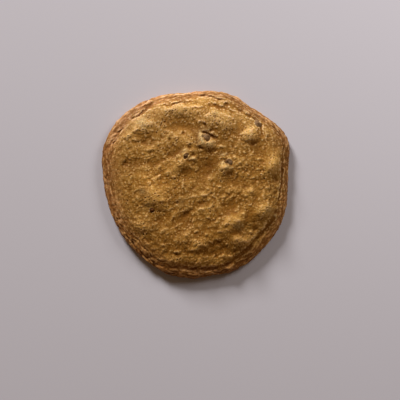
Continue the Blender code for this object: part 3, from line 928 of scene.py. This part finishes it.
class Nodes:
    """Short calls for building a material's node tree."""

    def __init__(self, name):
        self.material = bpy.data.materials.new(name)
        self.material.use_nodes = True
        self.tree = self.material.node_tree
        self.shader = self.tree.nodes["Principled BSDF"]

    def link(self, value, socket):
        if isinstance(value, bpy.types.NodeSocket):
            self.tree.links.new(value, socket)
        else:
            socket.default_value = value

    def add(self, kind, output, inputs=(), **settings):
        node = self.tree.nodes.new(kind)
        for key, value in settings.items():
            setattr(node, key, value)
        for key, value in dict(inputs).items():
            self.link(value, node.inputs[key])
        return node.outputs[output]

    def attribute(self, name):
        return self.add("ShaderNodeAttribute", "Fac", attribute_name=name)

    def math(self, operation, a, b):
        return self.add("ShaderNodeMath", 0, {0: a, 1: b}, operation=operation)

    def times(self, a, b):
        return self.math("MULTIPLY", a, b)

    def mix(self, factor, a, b, blend="MIX"):
        return self.add("ShaderNodeMix", 2, {0: factor, 6: a, 7: b}, data_type="RGBA", blend_type=blend)

    def noise(self, scale, detail):
        place = self.add("ShaderNodeTexCoord", "Object")
        inputs = {"Vector": place, "Scale": scale, "Detail": detail, "Roughness": 0.6}
        return self.add("ShaderNodeTexNoise", 0, inputs)

    def pits(self, scale, radius, least):
        """1 in the middle of small scattered pits, 0 outside their radius. Some cells have none."""
        place = self.add("ShaderNodeTexCoord", "Object")
        inputs = {"Vector": place, "Scale": scale}
        distance = self.add("ShaderNodeTexVoronoi", "Distance", inputs)
        draw = self.add("ShaderNodeTexVoronoi", "Color", inputs)
        return self.times(self.ramp(distance, radius, PIT_FLOOR), self.math("GREATER_THAN", draw, least))

    def ramp(self, value, low, high):
        """0 at low and 1 at high."""
        return self.add("ShaderNodeMapRange", 0, {0: value, 1: low, 2: high, 3: 0.0, 4: 1.0})

    def bump(self, height, distance, strength):
        return self.add("ShaderNodeBump", 0, {"Height": height, "Distance": distance, "Strength": strength})

    def shade(self, inputs):
        """Sets the shader's own inputs, by name."""
        for name, value in inputs.items():
            self.link(value, self.shader.inputs[name])


def rgb(r, g, b):
    return (r, g, b, 1.0)


# Sizes of the patterns, as the noise nodes take them, which is cells per metre.
TONE_SCALE = 90
SPECK_SCALE = 1100
GRAIN_SCALE = 1500
PIT_SCALE = 850
BLOOM_SCALE = 700
PIT_RADIUS = 0.36  # as a share of a cell
PIT_FLOOR = 0.1  # radius of a pit's darkest part
PITLESS = 0.42  # drawn value up to which a cell has no pit
PIT_ZONE = (-0.4, 0.8)  # value of the pore zone where pits start, and where they are full
PIT_STRENGTH = 0.85
PIT_BUMP = 0.9

DOUGH = rgb(0.270, 0.118, 0.0145)
DOUGH_LIGHTER = rgb(0.350, 0.158, 0.0225)
DOUGH_BLEND = (0.35, 0.65)  # value of the tone where the lighter dough starts, and where it is full
# Painted shade in the tiny pits that the material scatters over the pore zone.
PIT_SHADE_COLOR = rgb(0.14, 0.050, 0.004)

# Tops are paler with painted highlight, and hollows and creases are darker with painted shade:
# what is read, where the colour starts, where it is full, the colour.
CAVITY_SHADE_AND_HIGHLIGHTS = (
    ("wide_cavity", 0.1, -1.0, rgb(0.62, 0.335, 0.078)),
    ("wide_cavity", 0.0, 1.1, rgb(0.20, 0.072, 0.007)),
    ("middle_cavity", 0.0, 1.6, rgb(0.17, 0.056, 0.005)),
    ("middle_cavity", 0.0, -1.4, rgb(0.62, 0.345, 0.095)),
    ("fine_cavity", 0.0, 2.4, rgb(0.15, 0.048, 0.004)),
    ("fine_cavity", -0.22, -1.25, rgb(0.84, 0.54, 0.23)),
)

# Colours on the rim, its own orange tone and its threads, whose pale crests and dark creases are partly painted
# highlight and painted shade: what is read, where the colour starts, where it is full, strength, colour.
RIM_COLORS = (
    ("tone", 0.2, 0.75, 0.8, rgb(0.52, 0.235, 0.080)),
    ("thread", 0.05, 0.45, 0.7, rgb(0.78, 0.44, 0.19)),
    ("thread", -0.05, -0.45, 0.8, rgb(0.20, 0.070, 0.012)),
)

# Tints that multiply the colour over whole areas: the underside's own browning and scorch, the darker edge
# line, the crust's uneven bake, painted shade on the near side, painted light on the far side, and both in
# patches. What is read, where the tint starts, where it is full, the tint.
TINTS = (
    ("browned_and_shaded", 0.0, 1.0, rgb(0.88, 0.83, 0.74)),
    ("pale", 0.0, 1.0, rgb(1.08, 1.14, 1.42)),
    ("edge", 0.0, 1.0, rgb(0.72, 0.64, 0.60)),
    ("bake_and_painted_light", 0.0, 1.5, rgb(1.54, 1.57, 1.63)),
    ("bake_and_painted_light", 0.0, -1.0, rgb(0.66, 0.60, 0.54)),
)

# Marks over the rest: stains, pale smears with a few painted highlights, and painted shade in the pores.
# What is read, strength, colour.
MARKS = (
    ("stain", 0.9, rgb(0.22, 0.135, 0.050)),
    ("smear_and_highlight", 0.9, rgb(0.72, 0.50, 0.22)),
    ("pore", 0.85, rgb(0.13, 0.045, 0.003)),
)

# Painted glints and painted shade in small pores, as light and dark specks: where they start, where they are
# full, strength, colour.
GLINTS_AND_PORE_SHADE = (
    (0.58, 0.75, 0.25, rgb(0.74, 0.49, 0.18)),
    (0.42, 0.28, 0.4, rgb(0.17, 0.060, 0.005)),
)

# Each chocolate's name, dark and light tone. The sunken one, for the chip at the bottom of its hole, is a
# darker
# copy of the baked one: painted shade.
CHOCOLATES = {
    "baked": ("baked chocolate", rgb(0.160, 0.080, 0.029), rgb(0.32, 0.195, 0.092)),
    "shaded_sunken": ("shaded sunken chocolate", rgb(0.085, 0.025, 0.002), rgb(0.15, 0.052, 0.007)),
    "bloomed": ("bloomed chocolate", rgb(0.21, 0.115, 0.050), rgb(0.36, 0.225, 0.120)),
}
BLOOM_BLEND = (0.45, 0.7)  # value of the bloom where the light tone starts, and where it is full
CHIP_CHOCOLATE = {"chip_low_left": "shaded_sunken", "chip_edge": "bloomed"}  # all others are baked


def crust_material():
    n = Nodes("baked crust")
    tone = n.noise(TONE_SCALE, 4)
    speck = n.noise(SPECK_SCALE, 2)
    color = n.mix(n.ramp(tone, *DOUGH_BLEND), DOUGH, DOUGH_LIGHTER)
    # Painted highlights on the tops, and painted shade in the hollows and creases.
    for name, start, full, shade in CAVITY_SHADE_AND_HIGHLIGHTS:
        color = n.mix(n.ramp(n.attribute(name), start, full), color, shade)

    rim = n.attribute("rim")
    sources = {"tone": tone, "thread": n.attribute("thread")}
    for name, start, full, strength, shade in RIM_COLORS:
        amount = n.times(n.ramp(sources[name], start, full), rim)
        color = n.mix(n.times(amount, strength), color, shade)

    for name, start, full, tint in TINTS:
        color = n.mix(n.ramp(n.attribute(name), start, full), color, tint, "MULTIPLY")
    for name, strength, shade in MARKS:
        color = n.mix(n.times(n.attribute(name), strength), color, shade)

    # Tiny pits, with painted shade in them and a dip in the bump.
    pit = n.times(n.pits(PIT_SCALE, PIT_RADIUS, PITLESS), n.ramp(n.attribute("pore_zone"), *PIT_ZONE))
    color = n.mix(n.times(pit, PIT_STRENGTH), color, PIT_SHADE_COLOR)
    for start, full, strength, shade in GLINTS_AND_PORE_SHADE:
        color = n.mix(n.times(n.ramp(speck, start, full), strength), color, shade)

    grain = n.math("SUBTRACT", n.noise(GRAIN_SCALE, 4), n.times(pit, PIT_BUMP))
    n.shade({
        "Base Color": color,
        "Roughness": 0.5,
        "Specular IOR Level": 0.07,
        "Subsurface Weight": 0.25,
        "Subsurface Radius": (1.0, 0.6, 0.25),
        "Subsurface Scale": 0.7 * MM,
        "Normal": n.bump(grain, 0.24 * MM, 0.9),
    })
    return n.material


def chocolate_material(name, dark, light):
    n = Nodes(name)
    bloom = n.noise(BLOOM_SCALE, 4)
    n.shade({
        "Base Color": n.mix(n.ramp(bloom, *BLOOM_BLEND), dark, light),
        "Roughness": 0.55,
        "Specular IOR Level": 0.10,
        "Normal": n.bump(bloom, 0.2 * MM, 0.5),
    })
    return n.material


crumb_crust = build_crust()
crumb_crust.data.materials.append(crust_material())
chocolates = {kind: chocolate_material(*looks) for kind, looks in CHOCOLATES.items()}
for name in CHIPS:
    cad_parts[name].material_slots[0].material = chocolates[CHIP_CHOCOLATE.get(name, "baked")]

# ---------------------------------------------------------------- floor, light and camera

FLOOR_SIZE = 3.0
FLOOR_COLOR = rgb(0.615, 0.593, 0.652)

# Square soft lights: bearing and height (degrees), distance and size (m), power (W).
LIGHTS = {
    "window": (117, 25, 2.0, 0.56, 44.8),
    "lamp": (40, 36, 0.60, 0.25, 1.2),
}
LIGHT_COLOR = (1.0, 0.98, 0.96)
ROOM_COLOR = rgb(1.0, 0.64, 0.36)
ROOM_STRENGTH = 0.10

FRAME_WIDTH = 224.5 * MM
SENSOR_WIDTH = 36
CAMERA_DISTANCE = 400 * MM
CAMERA_TILT = math.radians(8)
AIM = Vector((1.9 * MM, -9.9 * MM, 4 * MM))


def build_floor():
    bpy.ops.mesh.primitive_plane_add(size=FLOOR_SIZE)
    floor = bpy.context.object
    floor.name = "floor"
    n = Nodes("pale cloth")
    n.shade({"Base Color": FLOOR_COLOR, "Roughness": 0.9})
    floor.data.materials.append(n.material)


def aim(obj, target):
    obj.rotation_euler = (target - obj.location).to_track_quat("-Z", "Y").to_euler()


def build_light(name, bearing, height, distance, size, energy):
    data = bpy.data.lights.new(name, "AREA")
    data.shape = "SQUARE"
    data.size = size
    data.energy = energy
    data.color = LIGHT_COLOR
    light = bpy.data.objects.new(name, data)
    turn, rise = math.radians(bearing), math.radians(height)
    way = Vector((math.cos(turn) * math.cos(rise), math.sin(turn) * math.cos(rise), math.sin(rise)))
    light.location = way * distance
    bpy.context.scene.collection.objects.link(light)
    aim(light, Vector((0, 0, 0)))


def build_room():
    world = bpy.data.worlds.new("room")
    world.use_nodes = True
    background = world.node_tree.nodes["Background"]
    background.inputs["Color"].default_value = ROOM_COLOR
    background.inputs["Strength"].default_value = ROOM_STRENGTH
    bpy.context.scene.world = world


def build_camera():
    data = bpy.data.cameras.new("camera")
    data.sensor_width = SENSOR_WIDTH
    data.lens = SENSOR_WIDTH * CAMERA_DISTANCE / FRAME_WIDTH
    data.clip_start = 10 * MM
    camera = bpy.data.objects.new("camera", data)
    camera.location = AIM + Vector((0, -math.sin(CAMERA_TILT), math.cos(CAMERA_TILT))) * CAMERA_DISTANCE
    bpy.context.scene.collection.objects.link(camera)
    aim(camera, AIM)
    bpy.context.scene.camera = camera


build_floor()
for name, settings in LIGHTS.items():
    build_light(name, *settings)
build_room()
build_camera()
bpy.context.scene.view_settings.view_transform = "Standard"
